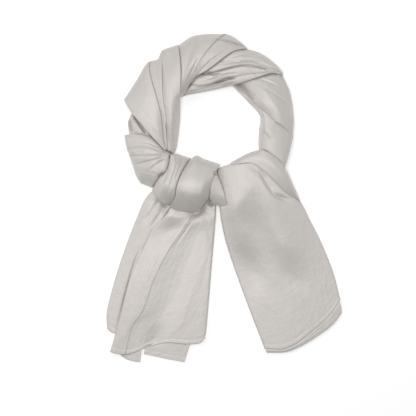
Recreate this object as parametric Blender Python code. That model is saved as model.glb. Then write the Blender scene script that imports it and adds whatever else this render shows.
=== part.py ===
# A satin hijab, twisted into a ring, tied in one knot and laid flat on a surface.
# Each stretch of cloth that shows is one solid, drawn by its fold lines and resting on z = 0.
# Tables are in millimetres, with +Y towards the ring and +Z up; the scene is in metres.

import math
from collections import namedtuple

import bmesh
import bpy
from mathutils import Vector

MM = 0.001

# The cut of the scarf, and the layers of cloth in a tail
SCARF_LENGTH = 1800.0
SCARF_WIDTH = 700.0
TAIL_LAYERS = 4
TAIL_WIDTH = SCARF_WIDTH / TAIL_LAYERS

# Heights of the heaped cloth above the surface
RING_CROWN = 0.22 * TAIL_WIDTH
KNOT_CROWN = 0.27 * TAIL_WIDTH
TAIL_CROWN = 0.08 * TAIL_WIDTH
LAYER = 2.5

# Clearance between stretches, and how far a free edge rolls in to where it rests, in parts of the way to
# the next fold
SEAM_GAP = 0.3
ROLL_IN = 0.3

# How much the cloth puffs between two folds, in parts of the way between them
PLEATED = 0.11
BANDED = 0.05
SMOOTH = 0.02
FLAT = 0.0

# A wall's levels below the cloth's edge: its height, as a part of the edge's, and how far it is drawn in.
# A tail's wall has a groove between its layers.
RING_WALL = ((0.45, 0.0),)
TAIL_WALL = ((0.64, 0.0), (0.52, 0.05), (0.40, 0.0))

# Satin, as the photograph shows it
SATIN = (197, 193, 189)
SATIN_ROUGHNESS = 0.42

# One fold line: the points it passes, from the stretch's start to its end, the cloth's height along it as
# parts of the stretch's crown, and the step up to the cloth that follows it
Fold = namedtuple("Fold", "way rise step", defaults=(0.0,))

# One stretch: its crown, its puff, segments along and between its fold lines, the sides that are free edges
# (of "first", "last", "start" and "end"), whether it runs smoothly across the folds, and its fold lines
# side by side
Stretch = namedtuple("Stretch", "crown puff along across free smooth folds")

STRETCHES = {
    "tail_right_panel": Stretch(TAIL_CROWN, SMOOTH, 20, 3, ("first", "last", "end"), True, (
        Fold(((-16, 62), (-10, -16), (10, -113), (46, -214), (85, -315)), (2.1, 0.75, 0.50, 0.42, 0.42)),
        Fold(((4, 69), (25, -14), (49, -108), (83, -203), (116, -317)), (2.3, 1.25, 0.85, 0.70, 0.50)),
        Fold(((27, 77), (59, -12), (88, -103), (120, -193), (145, -308)), (2.4, 1.50, 0.95, 0.80, 0.55)),
        Fold(((59, 80), (92, -10), (126, -98), (158, -180), (183, -280)), (2.5, 1.70, 1.00, 0.80, 0.55)),
        Fold(((88, 68), (126, -8), (164, -93), (195, -167), (219, -248)), (2.5, 1.60, 0.90, 0.75, 0.52)),
        Fold(((116, 47), (160, -6), (202, -88), (229, -155), (244, -213)), (2.0, 0.90, 0.50, 0.42, 0.42)),
    )),
    "tail_right_under": Stretch(LAYER, FLAT, 4, 2, ("end", "last"), True, (
        Fold(((80, -277), (89, -323)), (1.0, 1.0)),
        Fold(((111, -277), (126, -323)), (1.0, 1.0)),
        Fold(((139, -266), (155, -312)), (1.0, 1.0)),
        Fold(((166, -245), (189, -293)), (1.0, 1.0)),
        Fold(((193, -220), (227, -265)), (1.0, 1.0)),
        Fold(((223, -167), (247, -239)), (1.0, 1.0)),
    )),
    "tail_left_panel": Stretch(TAIL_CROWN, SMOOTH, 20, 2, ("last", "end"), True, (
        Fold(((-111, -10), (-161, -87), (-196, -165), (-217, -245), (-239, -322)), (1.2, 0.70, 0.60, 0.50, 0.42)),
        Fold(((-90, -10), (-126, -83), (-164, -165), (-191, -245), (-224, -326)), (1.4, 1.10, 0.90, 0.75, 0.48)),
        Fold(((-63, -10), (-88, -71), (-121, -117), (-149, -176), (-171, -235), (-194, -272), (-208, -328)),
             (1.2, 0.80, 0.60, 0.50, 0.44), -1.6),
        Fold(((-46, -8), (-61, -88), (-92, -178), (-128, -245), (-162, -313)), (1.3, 0.90, 0.72, 0.60, 0.46)),
        Fold(((-34, -6), (-38, -98), (-59, -182), (-86, -251), (-118, -303)), (1.3, 0.95, 0.78, 0.66, 0.48)),
        Fold(((-26, -4), (-32, -98), (-46, -182), (-60, -256), (-74, -306)), (1.2, 0.85, 0.70, 0.60, 0.46)),
        Fold(((-22, -2), (-25, -77), (-36, -182), (-46, -262), (-52, -304)), (1.1, 0.70, 0.58, 0.50, 0.43)),
        Fold(((-19, -1), (-18, -50), (-26, -146), (-36, -266), (-40, -293)), (1.0, 0.55, 0.46, 0.42, 0.42)),
    )),
    "tail_left_outer": Stretch(TAIL_CROWN, SMOOTH, 16, 2, ("first", "end"), True, (
        Fold(((-139, 24), (-164, 1), (-187, -50), (-212, -117), (-233, -184), (-246, -239), (-245, -274)),
             (1.2, 0.45, 0.32, 0.30, 0.30)),
        Fold(((-124, 7), (-155, -39), (-178, -88), (-206, -182), (-229, -245), (-237, -280)),
             (1.3, 0.70, 0.52, 0.42, 0.32)),
        Fold(((-107, -8), (-132, -58), (-158, -109), (-189, -193), (-206, -245), (-222, -286)),
             (1.2, 0.60, 0.45, 0.38, 0.32)),
    )),
    "tail_left_under": Stretch(LAYER, FLAT, 4, 3, ("end", "last"), False, (
        Fold(((-164, -266), (-169, -326)), (1.0, 1.0)),
        Fold(((-118, -260), (-128, -335)), (1.0, 1.0)),
        Fold(((-63, -260), (-71, -308), (-83, -344)), (1.0, 1.0)),
    )),
    "tail_left_corner": Stretch(LAYER, FLAT, 3, 2, ("end", "first"), True, (
        Fold(((-218, -295), (-215, -331)), (1.0, 1.0)),
        Fold(((-203, -295), (-204, -338)), (1.0, 1.0)),
        Fold(((-187, -295), (-189, -342)), (1.0, 1.0)),
        Fold(((-171, -295), (-176, -344)), (1.0, 1.0)),
    )),
    "ring_top": Stretch(RING_CROWN, PLEATED, 18, 3, ("first", "last"), False, (
        Fold(((120, 267), (111, 278), (92, 294), (71, 306), (50, 312), (32, 320)), (0.66, 0.38, 0.35, 0.34, 0.34)),
        Fold(((121, 265), (101, 280), (76, 295), (50, 301), (23, 305), (8, 311)), (0.68, 0.60, 0.62, 0.66, 0.68)),
        Fold(((122, 263), (97, 275), (69, 284), (38, 286), (-4, 286), (-21, 293)), (0.70, 0.78, 0.84, 0.86, 0.84)),
        Fold(((122, 260), (101, 270), (80, 271), (50, 278), (13, 272), (-38, 260), (-50, 265)), (0.70, 0.84, 0.92, 0.88, 0.74)),
        Fold(((122, 258), (100, 265), (78, 261), (40, 257), (-4, 245), (-40, 235), (-80, 240)), (0.70, 0.80, 0.76, 0.66, 0.54)),
        Fold(((123, 256), (100, 261), (69, 251), (44, 243), (19, 236), (-19, 227), (-71, 217), (-92, 212)),
             (0.66, 0.66, 0.42, 0.34, 0.34)),
    )),
    "ring_right": Stretch(RING_CROWN, BANDED, 18, 3, ("first", "last"), False, (
        Fold(((116, 269), (129, 244), (138, 223), (143, 199)), (0.60, 0.42, 0.38, 0.36)),
        Fold(((44, 253), (67, 234), (92, 218), (118, 205), (144, 192)), (0.70, 0.86, 0.94, 0.84, 0.38)),
        Fold(((32, 248), (59, 223), (84, 202), (116, 183), (146, 162)), (0.56, 0.78, 0.98, 0.90, 0.38)),
        Fold(((19, 245), (50, 216), (75, 192), (106, 163), (144, 129)), (0.48, 0.60, 0.78, 0.98, 0.38)),
        Fold(((17, 242), (55, 208), (79, 178), (84, 150), (92, 130), (104, 112), (135, 89)),
             (0.44, 0.50, 0.60, 0.92, 1.00, 0.52)),
        Fold(((16, 240), (53, 204), (77, 174), (77, 142), (78, 118), (86, 98), (102, 86), (129, 70)),
             (0.38, 0.42, 0.44, 0.46, 0.76, 0.94, 0.70)),
        Fold(((15, 238), (51, 201), (75, 172), (73, 140), (72, 112), (76, 92), (90, 72), (120, 55)),
             (0.34, 0.34, 0.34, 0.34, 0.50, 0.76, 0.76)),
    )),
    "ring_crossing": Stretch(RING_CROWN, BANDED, 16, 3, ("end",), False, (
        Fold(((-99, 210), (-98, 240), (-99, 269), (-101, 297), (-104, 314)), (0.46, 0.84, 0.94, 0.86, 0.40)),
        Fold(((-92, 211), (-84, 248), (-78, 282), (-69, 314), (-60, 341)), (0.46, 0.90, 1.06, 0.90, 0.34)),
        Fold(((-90, 211), (-78, 257), (-60, 297), (-42, 326), (-27, 344)), (0.46, 0.96, 1.14, 0.96, 0.34)),
        Fold(((-87, 213), (-64, 263), (-40, 301), (-15, 331), (3, 344)), (0.46, 0.96, 1.14, 0.96, 0.34), -1.4),
        Fold(((-86, 213), (-64, 256), (-36, 288), (-2, 317), (28, 332)), (0.46, 0.92, 1.06, 0.90, 0.34)),
        Fold(((-84, 214), (-64, 248), (-29, 270), (8, 299), (27, 309), (50, 313)), (0.46, 0.88, 1.02, 0.94, 0.44)),
    )),
    "ring_left": Stretch(RING_CROWN, PLEATED, 20, 3, ("first", "last", "end"), False, (
        Fold(((-124, 100), (-155, 133), (-176, 158), (-194, 179), (-210, 206)), (0.72, 0.50, 0.38, 0.30, 0.26)),
        Fold(((-122, 101), (-143, 154), (-162, 196), (-174, 223), (-184, 246)), (0.80, 0.74, 0.66, 0.52, 0.30)),
        Fold(((-120, 101), (-126, 119), (-131, 168), (-141, 210), (-155, 259), (-157, 286)),
             (0.84, 0.92, 0.86, 0.66, 0.34), 1.5),
        Fold(((-118, 100), (-122, 140), (-127, 180), (-136, 225), (-142, 262), (-140, 291)),
             (0.85, 0.98, 0.98, 0.76, 0.34)),
        Fold(((-117, 99), (-119, 133), (-120, 168), (-126, 206), (-128, 259), (-130, 309)),
             (0.86, 1.00, 1.02, 0.86, 0.36), 1.2),
        Fold(((-112, 97), (-111, 154), (-111, 206), (-112, 259), (-114, 316)), (0.84, 1.04, 1.14, 1.02, 0.36)),
        Fold(((-105, 91), (-98, 112), (-92, 164), (-91, 213), (-90, 259), (-92, 290), (-96, 321)),
             (0.66, 0.40, 0.44, 1.02, 1.16, 0.96, 0.42)),
    )),
    "ring_back": Stretch(RING_CROWN, PLEATED, 10, 2, ("first",), True, (
        Fold(((-191, 185), (-200, 164), (-201, 150), (-197, 127)), (0.22, 0.24, 0.24, 0.22)),
        Fold(((-182, 177), (-190, 160), (-188, 141), (-182, 120)), (0.28, 0.30, 0.30, 0.26), 1.2),
        Fold(((-170, 167), (-172, 150), (-166, 135), (-158, 118)), (0.32, 0.34, 0.34, 0.30)),
        Fold(((-158, 152), (-151, 140), (-141, 127), (-132, 110)), (0.30, 0.30, 0.30, 0.30)),
    )),
    "ring_lower_left": Stretch(RING_CROWN, PLEATED, 14, 3, ("first", "last", "end"), False, (
        Fold(((-118, 100), (-139, 118), (-155, 130), (-181, 134), (-194, 135), (-209, 132)),
             (0.84, 0.62, 0.50, 0.42, 0.36)),
        Fold(((-109, 94), (-134, 102), (-160, 106), (-181, 104), (-203, 102)), (0.90, 0.90, 0.86, 0.72, 0.36)),
        Fold(((-107, 88), (-134, 89), (-155, 89), (-174, 89), (-198, 90)), (0.92, 0.96, 0.96, 0.80, 0.36)),
        Fold(((-107, 78), (-134, 78), (-155, 76), (-174, 72), (-192, 71)), (0.92, 1.00, 0.98, 0.80, 0.36)),
        Fold(((-111, 66), (-134, 60), (-155, 53), (-170, 50), (-184, 47)), (0.88, 0.92, 0.86, 0.68, 0.36)),
        Fold(((-117, 55), (-131, 46), (-141, 35), (-150, 23), (-164, 27), (-175, 32)),
             (0.50, 0.42, 0.38, 0.34, 0.34)),
    )),
    "knot_left": Stretch(KNOT_CROWN, PLEATED, 16, 3, ("first", "end"), False, (
        Fold(((-111, 92), (-115, 70), (-122, 50), (-134, 33), (-149, 17)), (0.62, 0.66, 0.64, 0.54, 0.32)),
        Fold(((-99, 93), (-101, 70), (-109, 47), (-124, 22), (-135, -4)), (0.60, 0.84, 0.88, 0.72, 0.32)),
        Fold(((-86, 89), (-91, 66), (-101, 38), (-111, 13), (-118, -12)), (0.54, 0.86, 0.92, 0.76, 0.34)),
        Fold(((-69, 84), (-80, 57), (-89, 30), (-93, 7), (-99, -12)), (0.48, 0.84, 0.92, 0.78, 0.38)),
    )),
    "knot_front": Stretch(KNOT_CROWN, SMOOTH, 18, 3, ("start", "end"), True, (
        Fold(((-71, 81), (-89, 49), (-99, 21), (-102, 2), (-114, -18)), (0.52, 0.94, 1.00, 0.86, 0.42)),
        Fold(((-57, 90), (-71, 57), (-83, 26), (-88, -1), (-94, -26)), (0.54, 1.02, 1.08, 0.92, 0.40)),
        Fold(((-44, 83), (-56, 53), (-66, 22), (-71, -4), (-77, -29)), (0.52, 1.04, 1.10, 0.94, 0.40)),
        Fold(((-25, 77), (-38, 49), (-47, 22), (-52, -4), (-57, -28)), (0.50, 1.00, 1.06, 0.90, 0.38)),
        Fold(((-8, 71), (-22, 45), (-29, 21), (-33, 0), (-44, -16)), (0.46, 0.80, 0.82, 0.66, 0.36)),
    )),
    "knot_tuck": Stretch(KNOT_CROWN, SMOOTH, 12, 3, ("first", "end"), True, (
        Fold(((-21, 50), (-28, 32), (-30, 16), (-25, 0), (-20, -15)), (0.60, 0.56, 0.48, 0.36, 0.20)),
        Fold(((-18, 51), (-17, 30), (-16, 14), (-10, -1), (-6, -16)), (0.66, 0.66, 0.58, 0.46, 0.24)),
        Fold(((-14, 49), (-8, 34), (-3, 20), (2, 3), (5, -14)), (0.66, 0.66, 0.56, 0.44, 0.26)),
    )),
    "tail_right_roll": Stretch(RING_CROWN, SMOOTH, 18, 4, ("first", "end"), True, (
        Fold(((14, 75), (47, 93), (70, 100), (82, 100), (104, 87), (127, 64), (143, 32), (157, 1)),
             (0.66, 0.80, 1.02, 0.90, 0.40)),
        Fold(((15, 72), (49, 83), (76, 83), (97, 74), (116, 57), (134, 30), (158, -3)),
             (0.80, 1.10, 1.22, 1.00, 0.44)),
        Fold(((16, 69), (51, 74), (72, 66), (93, 48), (105, 36), (128, 13), (159, -6)),
             (0.84, 1.08, 1.06, 0.80, 0.42)),
    )),
}

# Which stretches lie over which: the upper one's outline is cut out of the lower one
OVER = (
    ("knot_front", ("knot_left", "knot_tuck", "tail_right_panel", "tail_left_panel", "tail_left_outer")),
    ("knot_left", ("ring_left", "ring_lower_left", "tail_left_panel", "tail_left_outer")),
    ("knot_tuck", ("tail_right_panel", "tail_left_panel")),
    ("tail_right_roll", ("ring_right", "tail_right_panel")),
    ("ring_left", ("ring_crossing", "ring_top", "ring_back", "ring_lower_left")),
    ("ring_crossing", ("ring_top",)),
    ("ring_top", ("ring_right",)),
    ("ring_lower_left", ("ring_back",)),
    ("tail_left_panel", ("tail_left_outer",)),
)

# Single layers that the tails lie on, each let into the tail's underside
UNDER = (
    ("tail_right_under", "tail_right_panel"),
    ("tail_left_under", "tail_left_panel"),
    ("tail_left_corner", "tail_left_panel"),
)


# Smooth curves through a few points

def between(values, t):
    """A value, or a point, on the smooth curve through values, with t from 0 to 1."""
    spans = len(values) - 1
    place = min(max(t, 0.0), 1.0) * spans
    i = min(int(place), spans - 1)
    s = place - i
    a = values[i]
    b = values[i + 1]
    before = values[i - 1] if i > 0 else a * 2 - b
    after = values[i + 2] if i + 2 <= spans else b * 2 - a
    rise_a = (b - before) * 0.5
    rise_b = (after - a) * 0.5
    return (a * (2 * s**3 - 3 * s**2 + 1) + rise_a * (s**3 - 2 * s**2 + s)
            + b * (3 * s**2 - 2 * s**3) + rise_b * (s**3 - s**2))


def walk(way, count):
    """count + 1 points at equal steps along the smooth curve through way."""
    points = [Vector(p) for p in way]
    fine = [between(points, i / 160) for i in range(161)]
    reach = [0.0]
    for a, b in zip(fine, fine[1:]):
        reach.append(reach[-1] + (b - a).length)
    steps = []
    j = 0
    for i in range(count + 1):
        target = reach[-1] * i / count
        while j < len(fine) - 2 and reach[j + 1] < target:
            j += 1
        part = (target - reach[j]) / (reach[j + 1] - reach[j])
        steps.append(fine[j].lerp(fine[j + 1], part))
    return steps


# The cloth's surface, read between the fold lines

def across_places(stretch):
    """Places across the folds, in folds: 0 is the first fold line. A step takes two close together."""
    places = []
    for k in range(len(stretch.folds)):
        stepped = stretch.folds[k].step != 0.0
        places += [k - 0.04, k + 0.04] if stepped else [float(k)]
        if k < len(stretch.folds) - 1:
            places += [k + j / stretch.across for j in range(1, stretch.across)]
    return places


def spot(stretch, row, place):
    """The point of the plan at a place across one row of fold points."""
    last = len(row) - 1
    k = min(int(place), last - 1)
    s = place - k
    if not stretch.smooth:
        return row[k].lerp(row[k + 1], s)
    return between(row, place / last)


def height(stretch, row, rises, place):
    """The cloth's height there, in millimetres: rounded at its edges and puffed between the folds."""
    last = len(row) - 1
    k = min(int(place), last - 1)
    s = place - k
    ease = s
    if k == 0 and "first" in stretch.free:
        ease = math.sin(s * math.pi / 2)
    if k == last - 1 and "last" in stretch.free:
        ease = 1 - math.cos(s * math.pi / 2)
    level = rises[k] + (rises[k + 1] - rises[k]) * ease
    if stretch.smooth:
        level = between(rises, place / last)
    step = stretch.folds[k].step * (1 - s) / 2 - stretch.folds[k + 1].step * s / 2
    width = min((row[k + 1] - row[k]).length, 40.0)
    return level * stretch.crown + step + stretch.puff * width * 4 * s * (1 - s)


def surface(stretch, tuck):
    """Rows of (x, y, z) over the stretch, with its free sides drawn in by tuck, in parts of a fold."""
    rails = [walk(fold.way, 60) for fold in stretch.folds]
    last = len(rails) - 1
    first_in = tuck if "first" in stretch.free else 0.0
    last_in = tuck if "last" in stretch.free else 0.0
    start_in = 0.15 * tuck if "start" in stretch.free else 0.0
    end_in = 0.15 * tuck if "end" in stretch.free else 0.0
    places = across_places(stretch)
    places[0] = first_in
    places[-1] = last - last_in
    steps = [i / stretch.along for i in range(stretch.along + 1)]
    steps[0] = start_in
    steps[-1] = 1 - end_in
    rows = []
    for u in steps:
        row = [between(rail, u) for rail in rails]
        rises = [between(fold.rise, u) for fold in stretch.folds]
        line = []
        for place in places:
            plan = spot(stretch, row, place)
            line.append((plan.x, plan.y, height(stretch, row, rises, place)))
        rows.append(line)
    return rows


def rim(rows):
    """The points around a surface, in order."""
    first = [line[0] for line in rows]
    last = [line[-1] for line in rows]
    return rows[0][:-1] + last[:-1] + rows[-1][:0:-1] + first[:0:-1]


# Solids and cutters

def make_object(name, points, faces):
    mesh = bpy.data.meshes.new(name)
    bm = bmesh.new()
    verts = [bm.verts.new((x * MM, y * MM, z * MM)) for x, y, z in points]
    for face in faces:
        bm.faces.new([verts[i] for i in face])
    bmesh.ops.recalc_face_normals(bm, faces=bm.faces)
    bm.to_mesh(mesh)
    bm.free()
    obj = bpy.data.objects.new(name, mesh)
    bpy.context.scene.collection.objects.link(obj)
    return obj


def satin(name):
    material = bpy.data.materials.new("satin_" + name)
    material.use_nodes = True
    shader = material.node_tree.nodes["Principled BSDF"]
    linear = [((c / 255 + 0.055) / 1.055) ** 2.4 for c in SATIN]
    shader.inputs["Base Color"].default_value = (*linear, 1.0)
    shader.inputs["Roughness"].default_value = SATIN_ROUGHNESS
    shader.inputs["Metallic"].default_value = 0.0
    return material


def cloth_solid(name, stretch):
    """A closed solid: the cloth's surface on top, a flat underside on z = 0, and walls between them."""
    top = surface(stretch, 0.0)
    base = surface(stretch, ROLL_IN)
    wide = len(top[0])
    long = len(top)
    points = [p for line in top for p in line]
    points += [(x, y, 0.0) for line in base for x, y, z in line]
    under = wide * long
    faces = []
    for i in range(long - 1):
        for j in range(wide - 1):
            a = i * wide + j
            quad = (a, a + 1, a + wide + 1, a + wide)
            faces.append(quad)
            faces.append(tuple(under + q for q in reversed(quad)))
    edge = [j for j in range(wide - 1)]
    edge += [i * wide + wide - 1 for i in range(long - 1)]
    edge += [(long - 1) * wide + j for j in range(wide - 1, 0, -1)]
    edge += [i * wide for i in range(long - 1, 0, -1)]
    levels = [edge]
    for part, drawn_in in TAIL_WALL if stretch.crown == TAIL_CROWN else RING_WALL:
        levels.append([len(points) + n for n in range(len(edge))])
        loop = rim(surface(stretch, drawn_in))
        points += [(x, y, points[e][2] * part) for (x, y, z), e in zip(loop, edge)]
    levels.append([under + e for e in edge])
    for above, below in zip(levels, levels[1:]):
        for n in range(len(edge)):
            m = (n + 1) % len(edge)
            faces.append((above[n], above[m], below[m], below[n]))
    obj = make_object(name, points, faces)
    obj.data.materials.append(satin(name))
    obj.data.shade_smooth()
    obj.data.set_sharp_from_angle(angle=math.radians(50))
    return obj


def grown(loop, gap):
    """The outline moved out by gap, with points closer than half a millimetre left out."""
    points = []
    for x, y, z in loop:
        if not points or (Vector((x, y)) - points[-1]).length > 0.5:
            points.append(Vector((x, y)))
    if (points[0] - points[-1]).length < 0.5:
        points.pop()
    count = len(points)
    turns = sum(points[i - 1].cross(points[i]) for i in range(count))
    side = 1.0 if turns > 0 else -1.0
    out = []
    for i in range(count):
        back = (points[i] - points[i - 1]).normalized()
        ahead = (points[(i + 1) % count] - points[i]).normalized()
        normal_a = Vector((back.y, -back.x)) * side
        normal_b = Vector((ahead.y, -ahead.x)) * side
        middle = (normal_a + normal_b).normalized()
        out.append(points[i] + middle * gap / max(0.5, middle.dot(normal_a)))
    return out


def cutter(name, stretch, low, high):
    """An upright prism on the stretch's outline, SEAM_GAP outside it."""
    loop = grown(rim(surface(stretch, 0.0)), SEAM_GAP)
    count = len(loop)
    points = [(p.x, p.y, low) for p in loop] + [(p.x, p.y, high) for p in loop]
    faces = [tuple(range(count)), tuple(range(count, 2 * count))]
    for i in range(count):
        j = (i + 1) % count
        faces.append((i, j, count + j, count + i))
    obj = make_object("cutter_" + name, points, faces)
    obj.hide_render = True
    obj.display_type = "WIRE"
    return obj


def cut(obj, tool):
    modifier = obj.modifiers.new("under_" + tool.name, "BOOLEAN")
    modifier.operation = "DIFFERENCE"
    modifier.solver = "EXACT"
    modifier.object = tool


for old in list(bpy.data.objects):
    bpy.data.objects.remove(old)

solids = {name: cloth_solid(name, stretch) for name, stretch in STRETCHES.items()}

for upper, lower_names in OVER:
    prism = cutter(upper, STRETCHES[upper], -10.0, 3 * RING_CROWN)
    for lower in lower_names:
        cut(solids[lower], prism)

for layer, tail in UNDER:
    pocket = cutter(layer, STRETCHES[layer], -10.0, LAYER + SEAM_GAP)
    cut(solids[tail], pocket)
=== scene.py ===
import math
from collections import namedtuple

import bmesh
import bpy
import numpy as np
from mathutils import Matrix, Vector, kdtree, noise


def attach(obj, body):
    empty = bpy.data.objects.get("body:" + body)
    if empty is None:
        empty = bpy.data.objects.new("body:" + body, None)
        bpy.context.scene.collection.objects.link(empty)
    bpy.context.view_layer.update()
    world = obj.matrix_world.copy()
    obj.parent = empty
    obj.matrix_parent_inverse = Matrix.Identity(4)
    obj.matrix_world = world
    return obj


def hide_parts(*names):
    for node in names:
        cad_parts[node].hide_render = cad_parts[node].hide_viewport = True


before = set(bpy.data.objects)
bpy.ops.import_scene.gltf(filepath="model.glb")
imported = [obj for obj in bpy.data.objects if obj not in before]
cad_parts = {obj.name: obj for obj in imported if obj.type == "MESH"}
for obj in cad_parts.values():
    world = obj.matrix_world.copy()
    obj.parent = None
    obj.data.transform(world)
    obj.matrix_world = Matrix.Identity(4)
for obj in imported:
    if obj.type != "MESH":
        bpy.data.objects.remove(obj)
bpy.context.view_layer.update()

# The table, the light and the camera
# The scarf lies on a pale table under four big soft lamps, and is seen from straight above. One pixel of
# the 416 pixel picture is 2.1 mm of table.

MM = 0.001
PIXEL = 2.1 * MM
PICTURE = 416

# The place on the table under the picture's middle, the camera's height over it and half the table top's
# side, in metres, and the width of the camera's sensor, in mm
CENTRE = (-33.6 * MM, -20.4 * MM)
EYE_HEIGHT = 4.0
TABLE_HALF = 8.0
SENSOR = 36.0


def linear(code):
    """A colour in linear light from its sRGB hex code."""
    parts = [int(code[i:i + 2], 16) / 255 for i in (1, 3, 5)]
    return tuple(c / 12.92 if c <= 0.04045 else ((c + 0.055) / 1.055) ** 2.4 for c in parts) + (1.0,)


def node(tree, kind, links=None, **settings):
    """A node with its settings, and links as input: value or input: output socket."""
    made = tree.nodes.new(kind)
    for key, value in settings.items():
        setattr(made, key, value)
    for key, value in (links or {}).items():
        if isinstance(value, bpy.types.NodeSocket):
            tree.links.new(value, made.inputs[key])
        else:
            made.inputs[key].default_value = value
    return made


def area_light(name, place, size, power):
    """A round lamp, size metres across, turned to the scarf's middle."""
    data = bpy.data.lights.new(name, "AREA")
    data.shape = "DISK"
    data.size = size
    data.energy = power
    obj = bpy.data.objects.new(name, data)
    obj.location = place
    obj.rotation_euler = (Vector((0.0, 0.0, 0.0)) - Vector(place)).to_track_quat("-Z", "Y").to_euler()
    bpy.context.scene.collection.objects.link(obj)


view = bpy.data.cameras.new("view")
view.sensor_width = SENSOR
view.lens = SENSOR * EYE_HEIGHT / (PICTURE * PIXEL)
view.clip_end = 50.0
eye = bpy.data.objects.new("view", view)
eye.location = (*CENTRE, EYE_HEIGHT)
bpy.context.scene.collection.objects.link(eye)
bpy.context.scene.camera = eye
bpy.context.scene.view_settings.view_transform = "Standard"

area_light("overhead", (-0.18, 0.12, 2.35), 1.3, 25.0)
area_light("behind", (0.0, 3.2, 2.5), 2.4, 30.0)
area_light("left", (-2.0, 0.3, 1.3), 1.6, 14.0)
area_light("right", (2.0, 0.3, 1.3), 1.6, 8.0)

world = bpy.data.worlds.new("studio")
world.use_nodes = True
world.node_tree.nodes["Background"].inputs["Color"].default_value = linear("#F4F5F7")
world.node_tree.nodes["Background"].inputs["Strength"].default_value = 0.24
bpy.context.scene.world = world

# painted table top, matt and nearly white
table_paint = bpy.data.materials.new("table_paint")
table_paint.use_nodes = True
paint = table_paint.node_tree.nodes["Principled BSDF"]
paint.inputs["Base Color"].default_value = linear("#F7F7F7")
paint.inputs["Roughness"].default_value = 0.9
paint.inputs["Specular IOR Level"].default_value = 0.1
paint.inputs["Emission Color"].default_value = linear("#FFFFFF")
paint.inputs["Emission Strength"].default_value = 0.22
table_mesh = bpy.data.meshes.new("table_top")
corners = [(x * TABLE_HALF, y * TABLE_HALF, 0.0) for x, y in ((-1, -1), (1, -1), (1, 1), (-1, 1))]
table_mesh.from_pydata(corners, [], [(0, 1, 2, 3)])
table_mesh.materials.append(table_paint)
table_top = bpy.data.objects.new("table_top", table_mesh)
bpy.context.scene.collection.objects.link(table_top)

# The knot
# Two bands of the satin, one wrapped over the other, with a small end tucked in at the right. Each is a
# length of one soft woven cloth, gathered across and rolled under at its ends.

# The cloth's thickness, the gap under it, and how far apart its points are, in mm
CLOTH = 0.7
REST = 0.25
STEP = 1.4
TAIL_STEP = 1.9

# The crowns are heights in mm, and a fold line gives its own heights as parts of one
KNOT_CROWN = 47.25
RING_CROWN = 38.5
TAIL_CROWN = 14.0

# One fold line: the points it passes, the cloth's height along it as parts of the crown, and the height of
# the pleat there at its start and end, in mm: over 0 where the cloth after the line lies on top, under 0
# where the cloth before it does. A sharp line is a crease with no pleat.
Fold = namedtuple("Fold", "way rise pleat sharp", defaults=((0.0, 0.0), False))

# A stretch of cloth: its crown, its gathers' height and spacing in mm, its fold lines, the stretches that
# lie on it, how much it puffs between creases, how far its edge curls where it lies on another stretch and
# how far in its free edges round off, in mm, whether it ends in a sewn hem, and whether it is one layer only
Stretch = namedtuple("Stretch", "crown gather folds over puff curl round hem single",
                     defaults=((), 0.0, 0.0, 13.0, False, False))

# A crease by itself: the points it passes, its depth and half width, and how much higher the cloth is on
# its left, in mm
Crease = namedtuple("Crease", "way depth width step", defaults=(0.0,))

# A soft swell or, under 0, a hollow: its middle, its half length and half width, its turn and its height
Swell = namedtuple("Swell", "x y long wide turn height")

stretches = {}
creases = {}
swells = {}

# How many points a fold line is measured by, and the least that anything is divided by
FINE = 400
TINY = 1e-6


def between(start, leaving, end, arriving, s):
    """The smooth curve from start to end at the parts s of its way, from its slopes there."""
    return (start * (2 * s**3 - 3 * s**2 + 1) + leaving * (s**3 - 2 * s**2 + s)
            + end * (3 * s**2 - 2 * s**3) + arriving * (s**3 - s**2))


def curve(values, t):
    """Points at t, from 0 to 1, on the smooth curve through values."""
    values = np.asarray(values, float)
    if values.ndim == 1:
        values = values[:, None]
    spans = len(values) - 1
    values = np.concatenate([[2 * values[0] - values[1]], values, [2 * values[-1] - values[-2]]])
    place = np.clip(t, 0, 1) * spans
    i = np.minimum(place.astype(int), spans - 1)
    a, b, c, d = (values[i + n] for n in range(4))
    return between(b, (c - a) / 2, c, (d - b) / 2, (place - i)[:, None])


def reach_along(points):
    """How far along the line through the points each of them is."""
    return np.concatenate([[0], np.cumsum(np.linalg.norm(np.diff(points, axis=0), axis=1))])


def walk(way, t):
    """Points at the parts t of the length of the smooth curve through way, and that length."""
    fine = curve(way, np.linspace(0, 1, FINE))
    reach = reach_along(fine)
    where = t * reach[-1]
    return np.stack([np.interp(where, reach, fine[:, n]) for n in range(2)], axis=1), reach[-1]


def smooth(t):
    """From 0 to 1, with no corner at either end."""
    t = np.clip(t, 0, 1)
    return t * t * (3 - 2 * t)


def slopes(x, z):
    """Slopes at knots that keep the curve through them free of bumps."""
    steps = np.diff(z) / np.maximum(np.diff(x), TINY)
    product, total = steps[1:] * steps[:-1], steps[1:] + steps[:-1]
    inner = np.where(product > 0, 2 * product / np.where(total == 0, 1, total), 0)
    return np.concatenate([[steps[0]], inner, [steps[-1]]])


def along_run(x, z, at):
    """Heights at places along a run of fold lines at x with heights z."""
    slope = slopes(x, z)
    i = np.clip(np.searchsorted(x, at, side="right") - 1, 0, len(x) - 2)
    wide = np.maximum(x[i + 1] - x[i], TINY)
    return between(z[i], slope[i] * wide, z[i + 1], slope[i + 1] * wide, (at - x[i]) / wide)


def hidden_layers(height, width):
    """What lies under a pleat's edge: (across, up) from the lower cloth to the upper, towards the upper."""
    r = height / 4
    turn = [math.radians(a) for a in (-50, 0, 50)]
    edge = [math.radians(a) for a in (235, 205, 175, 145, 115)]
    points = [(width / 2, 0.0), (width, 0.0)]
    points += [(width + r * math.cos(a), r + r * math.sin(a)) for a in turn]
    points += [(width, 2 * r), (width / 2, 2 * r), (r, 2 * r)]
    points += [(r + r * math.cos(a), 3 * r + r * math.sin(a)) for a in edge]
    return points


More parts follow.
